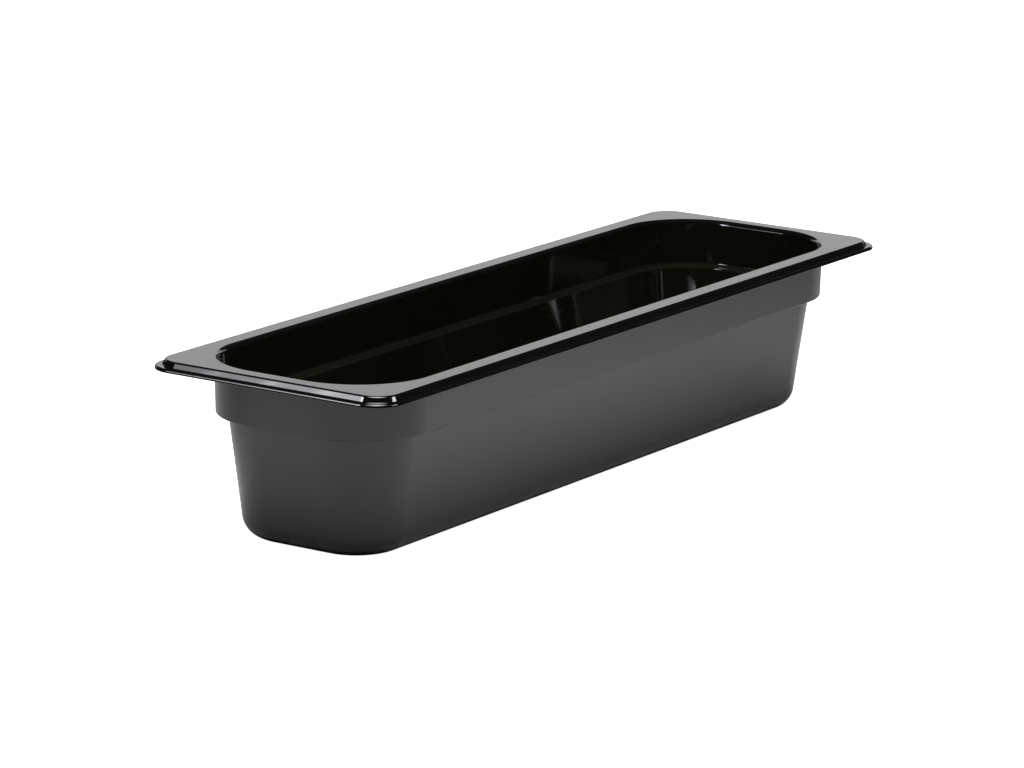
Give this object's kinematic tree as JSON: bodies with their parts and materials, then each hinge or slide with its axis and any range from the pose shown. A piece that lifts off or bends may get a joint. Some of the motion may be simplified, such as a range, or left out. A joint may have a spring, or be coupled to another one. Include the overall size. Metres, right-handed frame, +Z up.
{
  "type": "deli food pan",
  "caption": "Long rectangular food pan with a deep tapered well, a stepped upper band and a flanged rim that hangs in a counter opening or carries a lid.",
  "frame": {"origin": "centre of the flat base, on the surface the pan stands on", "axes": "+X along the pan's length, +Y across it, +Z up out of its mouth"},
  "size_m": [0.53, 0.162, 0.102],
  "materials": {
    "black_polycarbonate": "high gloss inside and on the rim, fine satin on the outside of the walls"
  },
  "bodies": {
    "root": {"food_pan": "black_polycarbonate"}
  },
  "joints": []
}
